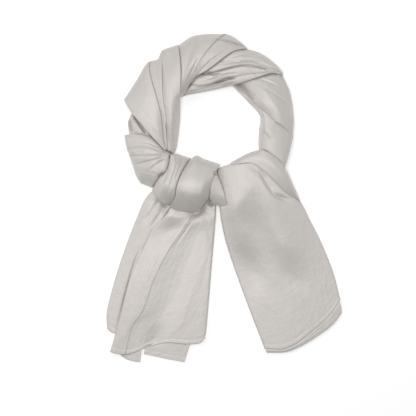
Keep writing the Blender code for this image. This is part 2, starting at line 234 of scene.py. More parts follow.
# At both ends the rows start this many mm apart, and grow by this much each, for this many rows
FINEST = 0.8
GROWTH = 1.35
GROWING = 4
FEWEST_ROWS = 4

# Columns are evenly spaced by this part, and closer at one edge of their panel or at both by the rest
FEWEST_COLUMNS = 3
EVEN_ONE = 0.4
EVEN_BOTH = 0.35


def rows_of(length, step):
    """Places along a stretch, closer together at both ends."""
    near = [FINEST * (GROWTH ** k - 1) / (GROWTH - 1) for k in range(GROWING)]
    inner = length - 2 * near[-1]
    count = max(FEWEST_ROWS, round(inner / step))
    places = near[:-1] + [near[-1] + inner * i / count for i in range(count + 1)]
    places += [length - p for p in reversed(near[:-1])]
    return np.array(places) / length


def columns_of(width, step, closer_a, closer_b):
    """Places across one panel, closer together at a crease or an edge."""
    count = max(FEWEST_COLUMNS, round(width / step) + 2 * (closer_a + closer_b))
    s = np.arange(count + 1) / count
    if closer_a and closer_b:
        return EVEN_BOTH * s + (1 - EVEN_BOTH) * (1 - np.cos(math.pi * s)) / 2
    if closer_a:
        return EVEN_ONE * s + (1 - EVEN_ONE) * (1 - np.cos(math.pi / 2 * s))
    if closer_b:
        return EVEN_ONE * s + (1 - EVEN_ONE) * np.sin(math.pi / 2 * s)
    return s


# What a face's points hold: where they are, the height of the cloth that shows there, their places across
# and along it, and where they go once pleats are flattened, all in mm
XY, XYZ, Z, TOP = slice(0, 2), slice(0, 3), 2, 3
ACROSS, ALONG, LAID, FLAT = 4, 5, slice(4, 6), slice(6, 8)

# A panel's columns are spaced for the width that this percentage of its rows stay under
FITTED = 80

# Between creases the cloth puffs up with the panel's width, up to this many mm, and this power flattens its
# top
PUFF_WIDTH = 45.0
PUFF_FLAT = 2.2

# A pleat: its least height, how far in its hidden layers reach, how much of the next panel they may take,
# how high it may be for that panel's width, and the pitch of its points once it is flattened, in mm
PLEAT_LEAST = 0.5
PLEAT_REACH = 6.0
PLEAT_SHARE = 0.3
PLEAT_STEEP = 0.8
PLEAT_SPARE = 0.3
PLEAT_PITCH = 0.02


def pleat_points(p, x, gap, b, pleat, middle, along):
    """One row's points through the layers that the pleat at fold line b hides."""
    over = b if pleat > 0 else b - 1
    tall = min(max(abs(pleat), PLEAT_LEAST), PLEAT_STEEP * gap[over] + PLEAT_SPARE)
    side = (p[over + 1] - p[over]) / max(gap[over], TINY)
    points = hidden_layers(tall, min(PLEAT_REACH, PLEAT_SHARE * gap[over]))
    if pleat < 0:
        points = [(-w, h) for w, h in reversed(points)]
    line = []
    for n, (w, h) in enumerate(points):
        flat = p[b] + side * PLEAT_PITCH * (n - len(points) / 2)
        line.append((*(p[b] + side * w), middle - tall / 2 + h, middle + tall / 2, x[b] + w, along, *flat))
    return line


def sheet_grid(stretch):
    """The stretch's face as rows of points across it, and its length along the folds."""
    folds = stretch.folds
    last = len(folds) - 1
    length = np.mean([walk(f.way, np.zeros(1))[1] for f in folds])
    step = TAIL_STEP if stretch.crown == TAIL_CROWN else STEP
    u = rows_of(length, step)
    rails = np.array([walk(f.way, u)[0] for f in folds])
    rises = np.array([curve(f.rise, u)[:, 0] for f in folds]) * stretch.crown
    pleats = np.array([f.pleat[0] + (f.pleat[1] - f.pleat[0]) * u for f in folds])
    pleated = [k for k in range(1, last) if folds[k].pleat != (0.0, 0.0)]
    breaks = sorted({0, last, *pleated, *(k for k in range(last) if folds[k].sharp)})
    gaps = np.linalg.norm(np.diff(rails, axis=0), axis=2)
    panels = [columns_of(np.percentile(gaps[k], FITTED), step, k in breaks, k + 1 in breaks)
              for k in range(last)]
    rows = []
    for i in range(len(u)):
        p, gap, pleat, along = rails[:, i], gaps[:, i], pleats[:, i], u[i] * length
        x = np.concatenate([[0], np.cumsum(gap)])
        line = []
        for a, b in zip(breaks, breaks[1:]):
            z = rises[a:b + 1, i].copy()
            z[0] += pleat[a] / 2
            z[-1] -= pleat[b] / 2
            wide = x[b] - x[a]
            for k in range(a, b):
                ends_here = k == b - 1 and (b in pleated or b == last)
                s = panels[k] if ends_here else panels[k][:-1]
                xa, xb = x[k], x[k + 1]
                if k == a and a in pleated and pleat[a] > 0:
                    xa += min(pleat[a] / 4, PLEAT_SHARE * gap[k])
                if k == b - 1 and b in pleated and pleat[b] < 0:
                    xb -= min(-pleat[b] / 4, PLEAT_SHARE * gap[k])
                at = xa + (xb - xa) * s
                t = (at - x[a]) / max(wide, TINY)
                up = along_run(x[a:b + 1], z, at)
                up += stretch.puff * min(wide, PUFF_WIDTH) * (1 - np.abs(2 * t - 1) ** PUFF_FLAT)
                plan = np.stack([along_run(x, p[:, n], at) for n in range(2)], axis=1)
                line += [(*q, h, h, place, along, *q) for q, h, place in zip(plan, up, at)]
            if b in pleated:
                line += pleat_points(p, x, gap, b, pleat[b], rises[b, i], along)
        rows.append(line)
    return np.array(rows), length


# An outline starts with this many points along each side, and is then evened out to one each this many mm
SIDE_POINTS = 90
OUTLINE_STEP = 3.0
FEWEST_POINTS = 8


def line_points(fold, crown, t):
    """Points at the parts t of a fold line's length, with the heights there."""
    return np.column_stack([walk(fold.way, t)[0], curve(fold.rise, t)[:, 0] * crown])


def outline_of(stretch):
    """The stretch's outline in plan, as an anticlockwise loop of points with the heights there."""
    first, last = (line_points(f, stretch.crown, np.linspace(0, 1, SIDE_POINTS))
                   for f in (stretch.folds[0], stretch.folds[-1]))
    start, end = (np.vstack([line_points(f, stretch.crown, np.array([at])) for f in stretch.folds])
                  for at in (0.0, 1.0))
    loop = np.concatenate([first[:-1], end[:-1], last[:0:-1], start[:0:-1]])
    closed = np.vstack([loop, loop[:1]])
    reach = reach_along(closed[:, XY])
    at = np.linspace(0, reach[-1], max(FEWEST_POINTS, round(reach[-1] / OUTLINE_STEP)), endpoint=False)
    loop = np.column_stack([np.interp(at, reach, closed[:, n]) for n in range(3)])
    turn = np.sum(loop[:, 0] * np.roll(loop[:, 1], -1) - loop[:, 1] * np.roll(loop[:, 0], -1))
    return loop if turn > 0 else loop[::-1]


def inside(loop, xy):
    """Which of the points xy lie inside the loop."""
    found = np.zeros(len(xy), bool)
    for a, b in zip(loop, np.roll(loop, -1, axis=0)):
        rising = (a[1] > xy[:, 1]) != (b[1] > xy[:, 1])
        found ^= rising & (xy[:, 0] < a[0] + (b[0] - a[0]) * (xy[:, 1] - a[1]) / (b[1] - a[1] or TINY))
    return found


def nearest(loop, xy):
    """How far each point is from the loop, the place on it with its height, and the loop's point there."""
    tree = kdtree.KDTree(len(loop))
    for n, p in enumerate(loop):
        tree.insert((p[0], p[1], 0), n)
    tree.balance()
    which = np.array([tree.find((x, y, 0))[1] for x, y in xy])
    best = np.full(len(xy), np.inf)
    spot = np.zeros((len(xy), 3))
    for start in (which - 1, which):
        a, b = loop[start], loop[(start + 1) % len(loop)]
        edge = b - a
        t = np.sum((xy - a[:, XY]) * edge[:, XY], axis=1)
        t = np.clip(t / np.maximum(np.sum(edge[:, XY] ** 2, axis=1), TINY), 0, 1)
        on = a + t[:, None] * edge
        far = np.linalg.norm(xy - on[:, XY], axis=1)
        closer = far < best
        best[closer] = far[closer]
        spot[closer] = on[closer]
    return best, spot, which


def signed(loop, xy):
    """Distances to the loop, under 0 inside it, with the nearest places and the loop's points there."""
    far, spot, which = nearest(loop, xy)
    return np.where(inside(loop, xy), -far, far), spot, which


# A crease: how many points it is drawn with, the parts of its length that it fades in and out over, how
# sudden a step across it is for its width, and how far that step dies away over, in mm
CREASE_POINTS = 24
FADE_IN = 0.25
FADE_OUT = 0.4
STEP_SUDDEN = 0.6
STEP_REACH = 14.0


def by_line(way, xy):
    """For each point: how far it is from a smooth line, how far along it, and on which side."""
    line = walk(way, np.linspace(0, 1, CREASE_POINTS))[0]
    best = np.full(len(xy), np.inf)
    part = np.zeros(len(xy))
    side = np.zeros(len(xy))
    for n in range(len(line) - 1):
        a, edge = line[n], line[n + 1] - line[n]
        t = np.clip((xy - a) @ edge / max(edge @ edge, TINY), 0, 1)
        off = xy - (a + t[:, None] * edge)
        far = np.linalg.norm(off, axis=1)
        closer = far < best
        best[closer] = far[closer]
        part[closer] = (n + t[closer]) / (len(line) - 1)
        side[closer] = np.sign(edge[0] * off[closer, 1] - edge[1] * off[closer, 0])
    return best, part, side


def pressed(name, grid):
    """The creases and swells listed for this stretch."""
    xy = grid[..., XY].reshape(-1, 2)
    up = np.zeros(len(xy))
    for crease in creases.get(name, ()):
        far, part, side = by_line(crease.way, xy)
        fade = smooth(part / FADE_IN) * smooth((1 - part) / FADE_OUT)
        up -= crease.depth * fade * np.exp(-((far / crease.width) ** 2))
        step = np.tanh(side * far / (STEP_SUDDEN * crease.width)) * np.exp(-far / STEP_REACH)
        up += crease.step / 2 * fade * step
    for swell in swells.get(name, ()):
        turn = math.radians(swell.turn)
        off = xy - np.array([swell.x, swell.y])
        a = (off[:, 0] * math.cos(turn) + off[:, 1] * math.sin(turn)) / swell.long
        b = (off[:, 1] * math.cos(turn) - off[:, 0] * math.sin(turn)) / swell.wide
        up += swell.height * np.exp(-(a * a + b * b))
    grid[..., Z] += up.reshape(grid.shape[:2])
    grid[..., TOP] += up.reshape(grid.shape[:2])


# Gathers: how many times longer than wide they are, how much shallower at the far end, the height of their
# ridges and the depth of their valleys, and the finer ones' height, closeness each way and place in the noise
GATHER_LONG = 14
GATHER_EASES = 0.6
RIDGE = 0.5
VALLEY = 1.6
FINER = 0.3
FINER_ACROSS = 2.3
FINER_ALONG = 1.7
ELSEWHERE = 9.0


def gathered(name, stretch, grid, length):
    """Fine gathers along the folds, closest and deepest where the cloth is pinched at its start."""
    height, spacing = stretch.gather
    seed = sum(ord(c) for c in name)
    for row in grid:
        pinch = 1.0 - GATHER_EASES * row[0, ALONG] / length
        for point in row:
            across, along = point[ACROSS] / spacing, point[ALONG] / (spacing * GATHER_LONG)
            up = RIDGE - abs(noise.noise(Vector((across, along, seed)))) * VALLEY
            finer = Vector((across * FINER_ACROSS, along * FINER_ALONG, seed + ELSEWHERE))
            up += FINER * noise.noise(finer)
            point[Z] += height * pinch * up
            point[TOP] += height * pinch * up


# Where one stretch lies on another, in mm: how far under its edge the lower one runs, how far in its own
# underside turns down, the gap between them, and how softly the lower one bends down
UNDERLAP = 8.0
TURN_DOWN = 11.0
CLEAR = 0.5
BEND = 0.4

# The least that an edge rolls in by and that is left to go under one, in mm, and the most that exp is given
LEAST_ROLL = 0.5
LEAST_UNDER = 0.1
MOST = 30

# How much a lip's underside falls and the cloth beside it may climb, for each mm, the part of the room that
# the lower one takes, and the part of its way under past which its points draw closer together
LIP_FALL = 0.12
CLIMB = 1.6
UNDER_PART = 0.7
CROWDED = 0.25

# A free edge is widest at this part of the cloth's height there, and rolls in by this part of it
WIDEST = 0.62
ROLL_IN = 0.9

# The lowest that a face and its edge may lie
FACE_FLOOR = CLOTH + REST + 0.4
EDGE_FLOOR = CLOTH + REST + 0.2

rims = {}
hem_lines = {}


def settled(stretch, grid):
    """The grid let down under the edges of the stretches that lie on it."""
    shape = grid.shape[:2]
    xy = grid[..., XY].reshape(-1, 2)
    flat = grid[..., FLAT].reshape(-1, 2)
    low = np.zeros(len(xy))
    for upper_name in stretch.over:
        rim = rims[upper_name]
        far, spot, which = signed(rim[:, XYZ], xy)
        lip, curl, room = rim[which, 3:].T
        edge = spot[:, Z]
        depth = np.clip(-far / np.maximum(np.minimum(ROLL_IN * edge, room), LEAST_ROLL), 0, 1)
        round_side = edge * (1 - np.sqrt(1 - (1 - depth) ** 2))
        under = lip * (edge - curl + LIP_FALL * np.minimum(far, 0)) + (1 - lip) * round_side - CLEAR
        limit = under + np.where(far > 0, CLIMB * far, 0)
        top = grid[..., TOP].reshape(-1) + low
        low -= BEND * np.log1p(np.exp(np.clip((top - limit) / BEND, -MOST, MOST)))
        inner = np.minimum(UNDERLAP, UNDER_PART * room)
        start = CROWDED * inner
        deep = far < -start
        left = inner - start
        depth = start + left * (1 - np.exp((far + start) / np.maximum(left, LEAST_UNDER)))
        push = (xy - spot[:, XY]) / np.maximum(-far, TINY)[:, None]
        moved = (spot[:, XY] + push * depth[:, None])[deep]
        flat[deep] += moved - xy[deep]
        xy[deep] = moved
    grid[..., XY] = xy.reshape(*shape, 2)
    grid[..., FLAT] = flat.reshape(*shape, 2)
    grid[..., Z] = np.maximum(grid[..., Z] + low.reshape(shape), FACE_FLOOR)
    grid[..., TOP] += low.reshape(shape)


def rim_of(grid):
    """The grid's outer points in order, as (row, column) pairs."""
    long, wide = grid.shape[:2]
    loop = [(i, 0) for i in range(long - 1)]
    loop += [(long - 1, j) for j in range(wide - 1)]
    loop += [(i, wide - 1) for i in range(long - 1, 0, -1)]
    loop += [(0, j) for j in range(wide - 1, 0, -1)]
    return loop


def eased(values, times):
    """Values around a loop, each drawn towards its neighbours."""
    for _ in range(times):
        values = (np.roll(values, 1, axis=0) + values + np.roll(values, -1, axis=0)) / 3
    return values


def unit(ways):
    """The same ways, each with a length of 1."""
    return ways / np.maximum(np.linalg.norm(ways, axis=1), TINY)[:, None]


# An outer point lies on another stretch when a point this many mm further out does. It starts to this many
# mm outside that stretch's outline, and does fully this many mm further in.
LOOK_OUT = 3.0
LIP_START = 2.0
LIP_FULL = 6.0
LIP_EASES = 6


def lips(name, loop_xy, out):
    """How much each outer point lies on another stretch, from 0 to 1."""
    there = np.zeros(len(loop_xy))
    for lower in stretches.values():
        if name in lower.over:
            far = signed(outline_of(lower), loop_xy + out * LOOK_OUT)[0]
            there = np.maximum(there, smooth((LIP_START - far) / LIP_FULL))
    return eased(there, LIP_EASES)


# A hem, in mm: how far its overhang and its sewn turning reach in from the edge, how thick the edge is, the
# turning's rise and how softly it ends, and its groove's depth and half width
OVERHANG = 14.0
TURNING = 10.0
HEM = 0.5
TURNING_RISE = 0.18
TURNING_END = 4.0
GROOVE = 0.2
GROOVE_WIDTH = 1.2


def hemmed(grid, far):
    """The sewn turning along an edge: a little thicker than the cloth, with a groove where it is stitched."""
    up = (TURNING_RISE * smooth((TURNING - far) / TURNING_END)
          - GROOVE * np.exp(-(((far - TURNING) / GROOVE_WIDTH) ** 2)))
    grid[..., Z] += up
    grid[..., TOP] += up


def stitched_line(grid, far):
    """The points TURNING in from a hemmed edge, from the distances of the grid's points to that edge."""
    line = []
    for points, off in zip(grid, far):
        k = int(np.argmax(off < TURNING))
        t = (off[k - 1] - TURNING) / (off[k - 1] - off[k])
        line.append(points[k - 1, XYZ] * (1 - t) + points[k, XYZ] * t)
    return np.array(line)


# An edge's way in is read from this many columns and rows in, and evened out this many times. The room
# under it is this part of the stretch's width there, which counts as this many mm or more.
COLUMNS_IN = 4
ROWS_IN = 3
EDGE_EASES = 5
ROOM_PART = 0.3
NARROWEST = 2.0

# A free edge rounds off over this much of its room and this many mm more, and a lip over this much of its
# curl
ROUND_ROOM = 1.1
ROUND_SPARE = 1.0
ROUND_LIP = 1.6

# A side goes down to the table in this many steps. A lip curls for this part of its way, and then draws in
# by this power. The weave goes on around it by this many mm across and along.
SIDE_TURNS = 7
CURL_PART = 0.45
DRAW_IN = 2.5
SIDE_ACROSS = 14
SIDE_ALONG = 3


def edge_of(stretch, grid, loop):
    """Around the edge: which way is in, how much room there is under it, and where it is hemmed."""
    long, wide = grid.shape[:2]
    flat = grid[..., FLAT]
    widths = np.linalg.norm(grid[:, 0, XY] - grid[:, -1, XY], axis=1)
    inward = np.zeros((len(loop), 2))
    room = np.zeros(len(loop))
    hem = np.zeros(len(loop))
    for n, (i, j) in enumerate(loop):
        if j == 0:
            inward[n] += flat[i, min(COLUMNS_IN, wide - 1)] - flat[i, 0]
        if j == wide - 1:
            inward[n] += flat[i, max(wide - 1 - COLUMNS_IN, 0)] - flat[i, -1]
        if i == 0:
            inward[n] += flat[min(ROWS_IN, long - 1), j] - flat[0, j]
        if i == long - 1:
            inward[n] += flat[max(long - 1 - ROWS_IN, 0), j] - flat[-1, j]
            hem[n] = stretch.hem
        room[n] = min(TURN_DOWN, ROOM_PART * max(widths[i], NARROWEST))
    inward = unit(inward)
    for _ in range(EDGE_EASES):
        inward = unit(eased(inward, 1))
    return inward, eased(room, EDGE_EASES) * (1 - hem) + OVERHANG * hem, hem


def side_points(at, inward, room, lip, curl, t):
    """The side's points at the part t of its way from the edge at down to the table."""
    a = math.pi / 2 * t
    sunk_round = at[:, Z] * (1 - math.sin(a)) + REST * math.sin(a)
    in_round = np.minimum(ROLL_IN * at[:, Z], room) * (1 - math.cos(a))
    if t < CURL_PART:
        b = math.pi / 2 * t / CURL_PART
        sunk_lip = at[:, Z] - curl * math.sin(b)
        in_lip = np.minimum(curl, room) * (1 - math.cos(b))
    else:
        b = (t - CURL_PART) / (1 - CURL_PART)
        sunk_lip = (at[:, Z] - curl) * (1 - b ** 3) + REST * b ** 3
        in_lip = np.minimum(curl, room) + np.maximum(room - curl, 0) * (1 - (1 - b) ** DRAW_IN)
    sunk = np.maximum(sunk_round * (1 - lip) + sunk_lip * lip, REST)
    drawn = in_round * (1 - lip) + in_lip * lip
    spread = at[:, XY] * (1 - t) + at[:, FLAT] * t
    return np.column_stack([spread + inward * drawn[:, None], sunk])


def face_of(grid):
    """A grid's points, their places in the cloth, and the faces between them."""
    long, wide = grid.shape[:2]
    points = [tuple(p[XYZ]) for row in grid for p in row]
    places = [tuple(p[LAID]) for row in grid for p in row]
    faces = [(i * wide + j, i * wide + j + 1, (i + 1) * wide + j + 1, (i + 1) * wide + j)
             for i in range(long - 1) for j in range(wide - 1)]
    return points, places, faces


def heap(name):
    """A closed skin of cloth over one stretch: its face, its sides rolled under, and its flat underside."""
    stretch = stretches[name]
    grid, length = sheet_grid(stretch)
    gathered(name, stretch, grid, length)
    pressed(name, grid)
    if stretch.hem:
        hemmed(grid, length - grid[..., ALONG])
    settled(stretch, grid)
    long, wide = grid.shape[:2]
    loop = rim_of(grid)
    at = np.array([grid[i, j] for i, j in loop])
    inward, room, hem = edge_of(stretch, grid, loop)
    lip = np.maximum(lips(name, at[:, FLAT], -inward), hem)
    curl = stretch.curl * (1 - hem) + HEM * hem

    # the face rounds off towards its edge
    outer = np.column_stack([at[:, FLAT], at[:, TOP]])
    far, _, which = nearest(outer, grid[..., XY].reshape(-1, 2))
    mix = lip[which]
    free = np.minimum(stretch.round, ROUND_ROOM * room[which] + ROUND_SPARE)
    reach = free * (1 - mix) + ROUND_LIP * curl[which] * mix
    fall = (1 - WIDEST) * at[which, TOP] * (1 - mix) + curl[which] * mix
    near = np.clip(1 - far / reach, 0, 1)
    drop = (fall * (1 - np.sqrt(1 - near * near))).reshape(long, wide)
    grid[..., Z] = np.maximum(grid[..., Z] - drop, EDGE_FLOOR)
    if stretch.hem:
        hem_lines[name] = stitched_line(grid.swapaxes(0, 1), (length - grid[..., ALONG]).T)

    # the sides, from the edge down to the table
    at = np.array([grid[i, j] for i, j in loop])
    rims[name] = np.column_stack([at[:, FLAT], at[:, Z], lip, curl, room])
    points, places, faces = face_of(grid)
    levels = [[i * wide + j for i, j in loop]]
    for turn in range(1, SIDE_TURNS + 1):
        t = turn / SIDE_TURNS
        levels.append([len(points) + m for m in range(len(loop))])
        points += [tuple(p) for p in side_points(at, inward, room, lip, curl, t)]
        places += [(p[ACROSS] + SIDE_ACROSS * t, p[ALONG] + SIDE_ALONG * t) for p in at]
    for above, below in zip(levels, levels[1:]):
        for m in range(len(loop)):
            k = (m + 1) % len(loop)
            faces.append((above[m], above[k], below[k], below[m]))

    # the underside, in strips from side to side
    base = dict(zip(loop, levels[-1]))
    faces.append([base[0, j] for j in range(wide)] + [base[1, wide - 1], base[1, 0]])
    for i in range(1, long - 2):
        faces.append([base[i, 0], base[i, wide - 1], base[i + 1, wide - 1], base[i + 1, 0]])
    end = [base[long - 1, j] for j in range(wide - 1, -1, -1)]
    faces.append(end + [base[long - 2, 0], base[long - 2, wide - 1]])
    return cloth_object(name, points, faces, places), length


def layer(name):
    """A single layer of cloth that shows past the edge of the stretch over it, hemmed along its last line."""
    stretch = stretches[name]
    grid, length = sheet_grid(stretch)
    gathered(name, stretch, grid, length)
    pressed(name, grid)
    far = grid[:, -1:, ACROSS] - grid[..., ACROSS]
    hemmed(grid, far)
    settled(stretch, grid)
    hem_lines[name] = stitched_line(grid, far)
    points, places, faces = face_of(grid)
    return cloth_object(name, points, faces, places), length


def cloth_object(name, points, faces, places):
    """A stretch as a mesh, with its places in the cloth as its UV map and the cloth's thickness inwards."""
    mesh = bpy.data.meshes.new(name)
    bm = bmesh.new()
    verts = [bm.verts.new((x * MM, y * MM, z * MM)) for x, y, z in points]
    for face in faces:
        bm.faces.new([verts[i] for i in face])
    laid = bm.loops.layers.uv.new("cloth")
    bm.verts.index_update()
    for face in bm.faces:
        for corner in face.loops:
            corner[laid].uv = places[corner.vert.index]
    bmesh.ops.recalc_face_normals(bm, faces=bm.faces)
    if stretches[name].single and sum(f.normal.z for f in bm.faces) < 0:
        bmesh.ops.reverse_faces(bm, faces=bm.faces)
    bm.to_mesh(mesh)
    bm.free()
    mesh.shade_smooth()
    mesh.materials.append(satin)
    obj = bpy.data.objects.new(name, mesh)
    bpy.context.scene.collection.objects.link(obj)
    thick = obj.modifiers.new("cloth", "SOLIDIFY")
    thick.thickness = CLOTH * MM
    thick.offset = -1.0
    return obj


def streaks(tree, places, across, along, detail):
    """Noise drawn out over the cloth: how many to the mm across it and along it."""
    spread = node(tree, "ShaderNodeMapping", {"Vector": places, "Scale": (across, along, 1.0)})
    return node(tree, "ShaderNodeTexNoise", {"Vector": spread.outputs["Vector"], "Scale": 1.0,
                                             "Detail": detail, "Roughness": 0.6}).outputs["Fac"]


def raised(tree, height, depth, below=None):
    """Height drawn as a bump of depth mm, on the bump below it."""
    links = {"Height": height, "Strength": 1.0, "Distance": depth * MM}
    if below:
        links["Normal"] = below
    return node(tree, "ShaderNodeBump", links).outputs["Normal"]


# polyester satin, woven with long floats on its face: smooth, softly shiny along the floats, with fine
# slubs in its weft. Its threads are 0.1 mm apart, and drawn six times coarser so that they show.
THREAD_GAP = 0.1
DRAWN_COARSER = 6.25
WEAVE = 1 / (THREAD_GAP * DRAWN_COARSER)

satin = bpy.data.materials.new("woven_satin")
satin.use_nodes = True
tree = satin.node_tree
shader = tree.nodes["Principled BSDF"]
places = node(tree, "ShaderNodeUVMap", uv_map="cloth").outputs["UV"]
crumple = streaks(tree, places, 0.07, 0.045, 3.0)
wrinkles = streaks(tree, places, 0.24, 0.02, 2.0)
slubs = streaks(tree, places, 0.02, 0.30, 3.0)
weft = streaks(tree, places, 0.10, WEAVE, 2.0)
warp = streaks(tree, places, WEAVE, 0.06, 2.0)
bump = raised(tree, crumple, 0.8)
bump = raised(tree, wrinkles, 0.35, bump)
bump = raised(tree, slubs, 0.13, bump)
bump = raised(tree, weft, 0.03, bump)
bump = raised(tree, warp, 0.025, bump)
tone = node(tree, "ShaderNodeMix", {"Factor": slubs, "A": linear("#C8C3BD"), "B": linear("#D3CEC9")},
            data_type="RGBA", clamp_factor=True)
shine = node(tree, "ShaderNodeMapRange", {"Value": weft, "From Min": 0.3, "From Max": 0.7, "To Min": 0.50,
                                          "To Max": 0.58})
along_floats = node(tree, "ShaderNodeTangent", direction_type="UV_MAP", uv_map="cloth")
tree.links.new(tone.outputs["Result"], shader.inputs["Base Color"])
tree.links.new(shine.outputs["Result"], shader.inputs["Roughness"])
tree.links.new(bump, shader.inputs["Normal"])
tree.links.new(along_floats.outputs["Tangent"], shader.inputs["Tangent"])
shader.inputs["Metallic"].default_value = 0.28
shader.inputs["Anisotropic"].default_value = 0.35
shader.inputs["Sheen Weight"].default_value = 0.15
shader.inputs["Sheen Roughness"].default_value = 0.4

stretches["knot_front"] = Stretch(KNOT_CROWN, puff=0.02, curl=0.7, gather=(0.4, 9.0), folds=(
    Fold(((-71, 81), (-89, 49), (-99, 21), (-102, 2), (-114, -18)),
         (0.50, 0.72, 0.88, 0.97, 0.98, 0.87, 0.66, 0.36)),
    Fold(((-57, 90), (-71, 57), (-83, 26), (-88, -1), (-94, -26)),
         (0.52, 0.76, 0.94, 1.04, 1.06, 0.98, 0.70, 0.32)),
    Fold(((-44, 83), (-56, 53), (-66, 22), (-71, -4), (-77, -29)),
         (0.52, 0.78, 0.96, 1.06, 1.08, 1.00, 0.72, 0.32)),
    Fold(((-25, 77), (-38, 49), (-47, 22), (-52, -4), (-57, -28)),
         (0.50, 0.76, 0.92, 1.02, 1.04, 0.95, 0.67, 0.30)),
    Fold(((-8, 71), (-22, 45), (-29, 21), (-33, 0), (-44, -16)),
         (0.46, 0.70, 0.80, 0.82, 0.77, 0.68, 0.52, 0.34)),
))
stretches["knot_left"] = Stretch(
    KNOT_CROWN, puff=0.04, curl=1.1, gather=(0.5, 5.0), over=("knot_front",), folds=(
        Fold(((-111, 92), (-115, 70), (-122, 53), (-138, 38), (-151, 18)), (0.70, 0.80, 0.82, 0.62, 0.30)),
        Fold(((-99, 93), (-101, 70), (-109, 47), (-124, 22), (-137, -4)),
             (0.62, 0.79, 0.88, 0.91, 0.90, 0.74, 0.34)),
        Fold(((-86, 89), (-91, 66), (-101, 38), (-111, 13), (-120, -14)),
             (0.44, 0.67, 0.82, 0.89, 0.90, 0.72, 0.32)),
        Fold(((-69, 84), (-80, 57), (-89, 30), (-93, 7), (-99, -12)), (0.38, 0.64, 0.83, 0.92, 0.88, 0.42)),
    ))
creases["knot_left"] = (
    Crease(((-100, 93), (-100, 83), (-101, 70)), 1.6, 2.0, -1.0),
    Crease(((-110, 87), (-118, 55), (-130, 26), (-141, 5)), 1.6, 2.4, 1.6),
    Crease(((-92, 87), (-103, 55), (-113, 22), (-120, -4)), 1.7, 2.2, 1.4),
    Crease(((-82, 84), (-94, 59), (-104, 30)), 1.7, 2.2, 1.4),
)
stretches["knot_tuck"] = Stretch(
    KNOT_CROWN, puff=0.02, curl=0.8, gather=(0.3, 7.0), over=("knot_front",), folds=(
        Fold(((-27, 52), (-36, 32), (-38, 16), (-32, 2), (-21, -14)), (0.66, 0.76, 0.74, 0.60, 0.40)),
        Fold(((-18, 51), (-17, 30), (-16, 14), (-10, -1), (-6, -16)), (0.62, 0.68, 0.66, 0.58, 0.42)),
        Fold(((-14, 49), (-8, 34), (-3, 20), (2, 3), (5, -14)), (0.60, 0.63, 0.62, 0.60, 0.50)),
    ))

# The ring
# The same cloth, folded lengthways and twisted, so that it lies as a ring of overlapping pleats. Each
# stretch below starts where it is pinched and fans out to the ring's edge.

stretches["ring_left"] = Stretch(
    RING_CROWN, puff=0.05, curl=1.0, gather=(0.4, 8.0), over=("knot_left",), folds=(
        Fold(((-124, 100), (-155, 133), (-176, 158), (-194, 179), (-210, 206)),
             (0.66, 0.82, 0.84, 0.78, 0.46)),
        Fold(((-122, 101), (-143, 154), (-162, 196), (-174, 223), (-184, 246)),
             (0.62, 0.82, 0.86, 0.80, 0.46)),
        Fold(((-120, 101), (-126, 119), (-131, 168), (-141, 210), (-155, 259), (-157, 286)),
             (0.60, 0.74, 0.86, 0.76, 0.48), (-1.6, -3.0)),
        Fold(((-118, 100), (-122, 140), (-127, 180), (-136, 225), (-142, 262), (-140, 291)),
             (0.60, 0.84, 0.94, 0.82, 0.48), sharp=True),
        Fold(((-117, 99), (-119, 133), (-120, 168), (-126, 206), (-128, 259), (-130, 309)),
             (0.60, 0.88, 0.98, 0.86, 0.50), (2.6, 3.4)),
        Fold(((-112, 97), (-111, 154), (-111, 206), (-112, 259), (-114, 316)),
             (0.60, 1.00, 1.12, 1.00, 0.50)),
        Fold(((-105, 91), (-98, 112), (-92, 164), (-91, 213), (-90, 259), (-92, 290), (-96, 321)),
             (0.50, 0.44, 0.50, 0.98, 1.10, 1.02, 0.62)),
    ))
creases["ring_left"] = (
    Crease(((-206, 212), (-188, 238), (-170, 258), (-158, 270)), 1.6, 5.0),
    Crease(((-128, 300), (-127, 262), (-125, 225), (-122, 180)), 2.0, 2.2, 1.4),
    Crease(((-99, 150), (-100, 128), (-107, 104)), 2.4, 2.2, 1.0),
    Crease(((-122, 160), (-118, 130), (-117, 104)), 2.4, 2.0, -1.2),
    Crease(((-150, 150), (-134, 122), (-122, 104)), 1.0, 4.0, 0.4),
)
stretches["ring_crossing"] = Stretch(
    RING_CROWN, puff=0.05, curl=1.6, gather=(0.5, 9.0), over=("ring_left",), folds=(
        Fold(((-99, 210), (-98, 240), (-99, 269), (-101, 297), (-104, 314)), (0.70, 1.02, 0.99, 0.86, 0.52)),
        Fold(((-92, 211), (-84, 248), (-78, 282), (-69, 314), (-60, 341)), (0.66, 0.95, 0.98, 0.84, 0.44)),
        Fold(((-90, 211), (-78, 257), (-60, 297), (-42, 326), (-27, 344)), (0.60, 0.96, 1.12, 0.96, 0.46)),
        Fold(((-87, 213), (-64, 263), (-40, 301), (-15, 331), (3, 344)), (0.56, 0.95, 1.12, 0.96, 0.46),
             (-2.0, -3.2)),
        Fold(((-86, 213), (-64, 256), (-36, 288), (-2, 317), (28, 332)), (0.46, 0.90, 1.02, 0.90, 0.46)),
        Fold(((-84, 214), (-64, 248), (-29, 270), (8, 299), (27, 309), (50, 313)),
             (0.52, 0.86, 0.98, 0.92, 0.56)),
    ))
creases["ring_crossing"] = (
    Crease(((-26, 335), (-10, 332), (12, 326), (34, 319), (66, 307)), 8.0, 1.7),
    Crease(((17, 314), (-15, 295), (-42, 272), (-66, 246)), 1.8, 2.2, 0.8),
    Crease(((34, 314), (4, 303), (-22, 286), (-50, 260), (-72, 236)), 1.4, 2.0, 0.6),
    Crease(((-86, 295), (-84, 265), (-87, 228)), 1.2, 2.6, 0.4),
    Crease(((-50, 300), (-66, 265), (-82, 228)), 1.4, 2.4, 0.4),
)
